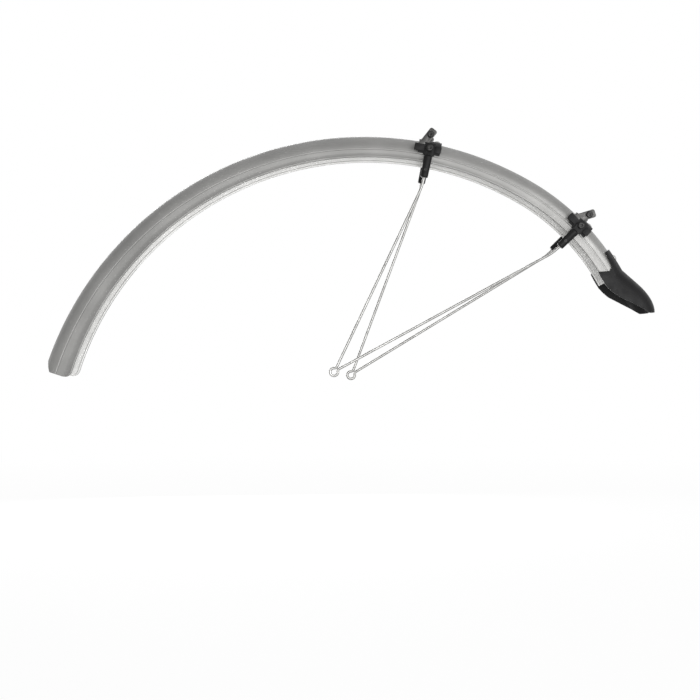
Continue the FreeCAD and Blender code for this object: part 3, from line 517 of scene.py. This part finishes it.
def trimFlap(piece, sizes):
    # Keeps what lies inside the side outline, pushed across the whole width.
    ring = []
    ray = polar(Vector((0, 0, 0)), 1, sizes["flareAngle"])
    along = polar(Vector((0, 0, 0)), 1, sizes["flareAngle"] - 90)
    for onwards, depth in sizes["outline"]:
        spot = tailCentre + ray * (arcs["tailRadius"] - depth) + along * onwards
        ring.append((spot.x, -sizes["reach"] / 2, spot.z))
    mask = ringPiece("flapMask", ring)
    bpy.ops.object.mode_set(mode="EDIT")
    bpy.ops.mesh.select_all(action="SELECT")
    bpy.ops.mesh.edge_face_add()
    pushTo((0, sizes["reach"], 0))
    bpy.ops.mesh.select_all(action="SELECT")
    bpy.ops.mesh.normals_make_consistent(inside=False)
    bpy.ops.object.mode_set(mode="OBJECT")
    applyModifier(piece, "BOOLEAN", operation="INTERSECT", solver="EXACT", object=mask)
    bpy.data.objects.remove(mask)


# Mouldings and fittings: merged copies of the solids, their edges softened.
# Each line gives the slot, the material, the bevel in metres and its segments.
softening = {"merge": 0.000005, "flatAngle": 1.5, "edgeAngle": 30, "smooth": 35}
fittings = {
    "bracket": ("moulding", blackMould, 0.00035, 2),
    "stay_holder": ("moulding", blackMould, 0.00025, 2),
    "holder_screw": ("fastener", zincSteel, 0.00015, 2),
    "holder_nut": ("fastener", zincSteel, 0.00015, 1),
    "set_screw": ("fastener", zincSteel, 0.0001, 1),
    "plate": ("plate", pressedSteel, 0.0002, 2),
    "plate_screw": ("fastener", zincSteel, 0.00015, 2),
    "plate_nut": ("fastener", zincSteel, 0.00015, 1),
    "bracket_rivets": ("rivet", rivetAlloy, 0.0001, 1),
    "flap_rivets": ("rivet", rivetAlloy, 0.0001, 1),
    "flap": ("flap", blackFlap, 0.0003, 2),
}


def camel(nodeName):
    words = nodeName.split("_")
    return words[0] + "".join(word.capitalize() for word in words[1:])


def softenedCopy(nodeName, bevel, segments):
    piece = bpy.data.objects.new(camel(nodeName), nodes[nodeName].data.copy())
    bpy.context.scene.collection.objects.link(piece)
    selectAllIn(piece)
    bpy.ops.mesh.remove_doubles(threshold=softening["merge"])
    bpy.ops.mesh.dissolve_limited(angle_limit=math.radians(softening["flatAngle"]))
    bpy.ops.object.mode_set(mode="OBJECT")
    if nodeName == "flap":
        trimFlap(piece, flapSizes)
    applyModifier(piece, "BEVEL", width=bevel, segments=segments, limit_method="ANGLE",
                  angle_limit=math.radians(softening["edgeAngle"]), harden_normals=False,
                  use_clamp_overlap=True)
    smoothByAngle(piece, softening["smooth"])
    return piece


for nodeName in sorted(nodes):
    matches = [ending for ending in fittings if nodeName.endswith(ending)]
    if matches:                              # the blade and the stays are made above
        slotName, material, bevel, segments = fittings[max(matches, key=len)]
        wear(softenedCopy(nodeName, bevel, segments), material, nodeName)
print("fittings made")


# Studio: pale floor well below, white surroundings, soft lights and the camera square to the side.
studio = {
    "floorHeight": -0.345, "floorSize": 30, "middle": 0.32,
    "floorColour": 0.86, "floorDrift": 0.02, "floorRough": 0.9, "floorGrain": 8.0,
    "floorGlow": 0.93, "fadeFrom": 0.5, "fadeTo": 3.2,
    "worldLight": 0.36,
    "cameraAt": (0.3176, -1.5, 0.0043), "lens": 72.57, "sensor": 36, "clipEnd": 60,
    "lamps": [                               # name, place, target, breadth and watts
        ("keyLamp", (1.4, -1.4, 0.35), (0.40, 0, 0.08), 1.2, 20.0),
        ("topLamp", (0.5, 0.2, 1.9), (0.32, 0, 0.0), 1.6, 2.0),
        ("frontLamp", (0.42, -1.85, -0.12), (0.38, 0, 0.05), 0.5, 15.0),
        ("backLamp", (0.10, 1.80, 0.30), (0.32, 0, 0.05), 1.4, 26.0),
    ],
}


def aimAt(item, target):
    sight = Vector(target) - Vector(item.location)
    item.rotation_euler = sight.to_track_quat("-Z", "Y").to_euler()


def seenPath(tree):
    # 1 for what the camera or a glossy surface sees, 0 for the light that falls on things.
    path = tree.nodes.new("ShaderNodeLightPath")
    seen = tree.nodes.new("ShaderNodeMath")
    seen.operation = "MAXIMUM"
    tree.links.new(path.outputs["Is Camera Ray"], seen.inputs[0])
    tree.links.new(path.outputs["Is Glossy Ray"], seen.inputs[1])
    return seen.outputs[0]


def mixInto(tree, share, first, second, ending):
    mix = tree.nodes.new("ShaderNodeMixShader")
    tree.links.new(share, mix.inputs["Fac"])
    tree.links.new(first, mix.inputs[1])
    tree.links.new(second, mix.inputs[2])
    tree.links.new(mix.outputs["Shader"], tree.nodes[ending].inputs["Surface"])


def makeFloor(sizes):
    clearSelection()
    bpy.ops.mesh.primitive_plane_add(size=sizes["floorSize"],
                                     location=(sizes["middle"], 0, sizes["floorHeight"]))
    floor = bpy.context.object
    floor.name = "floor"
    settle(floor)
    material, tree, shader = newMaterial("paleFloor")
    shader.inputs["Roughness"].default_value = sizes["floorRough"]
    speckle = noiseNode(tree, sizes["floorGrain"])
    pale = sizes["floorColour"]
    stops = [(0.3, pale), (0.7, pale + sizes["floorDrift"])]
    tint = rampNode(tree, speckle.outputs["Fac"], stops)
    tree.links.new(tint.outputs["Color"], shader.inputs["Base Color"])
    # The floor grows whiter away from the object, so its far edge doesn't show.
    place = tree.nodes.new("ShaderNodeTexCoord")
    apart = tree.nodes.new("ShaderNodeVectorMath")
    apart.operation = "DISTANCE"
    apart.inputs[1].default_value = (sizes["middle"], 0, sizes["floorHeight"])
    fade = tree.nodes.new("ShaderNodeMapRange")
    fade.inputs["From Min"].default_value = sizes["fadeFrom"]
    fade.inputs["From Max"].default_value = sizes["fadeTo"]
    fade.inputs["To Min"].default_value = sizes["floorGlow"]
    fade.inputs["To Max"].default_value = 1.0
    share = tree.nodes.new("ShaderNodeMath")
    share.operation = "MULTIPLY"
    tree.links.new(place.outputs["Object"], apart.inputs[0])
    tree.links.new(apart.outputs["Value"], fade.inputs["Value"])
    tree.links.new(seenPath(tree), share.inputs[0])
    tree.links.new(fade.outputs["Result"], share.inputs[1])
    glow = tree.nodes.new("ShaderNodeEmission")
    mixInto(tree, share.outputs[0], shader.outputs["BSDF"], glow.outputs["Emission"],
            "Material Output")
    floor.data.materials.append(material)


def makeLamps(sizes):
    for name, place, target, breadth, power in sizes["lamps"]:
        bpy.ops.object.light_add(type="AREA", location=place)
        lamp = bpy.context.object
        lamp.name = name
        lamp.data.shape = "DISK"
        lamp.data.size = breadth
        lamp.data.energy = power
        aimAt(lamp, target)


def makeRoom(sizes):
    world = bpy.data.worlds.new("paleRoom")
    bpy.context.scene.world = world
    world.use_nodes = True
    tree = world.node_tree
    soft = tree.nodes["Background"]
    bright = tree.nodes.new("ShaderNodeBackground")
    for background, strength in ((soft, sizes["worldLight"]), (bright, 1.0)):
        background.inputs["Color"].default_value = (1, 1, 1, 1)
        background.inputs["Strength"].default_value = strength
    mixInto(tree, seenPath(tree), soft.outputs["Background"], bright.outputs["Background"],
            "World Output")


def makeCamera(sizes):
    clearSelection()
    bpy.ops.object.camera_add(location=sizes["cameraAt"], rotation=(math.pi / 2, 0, 0))
    camera = bpy.context.object
    camera.data.lens = sizes["lens"]
    camera.data.sensor_width = sizes["sensor"]
    camera.data.clip_end = sizes["clipEnd"]
    bpy.context.scene.camera = camera


makeFloor(studio)
makeLamps(studio)
makeRoom(studio)
makeCamera(studio)
bpy.context.scene.view_settings.view_transform = "Standard"
print("studio made")
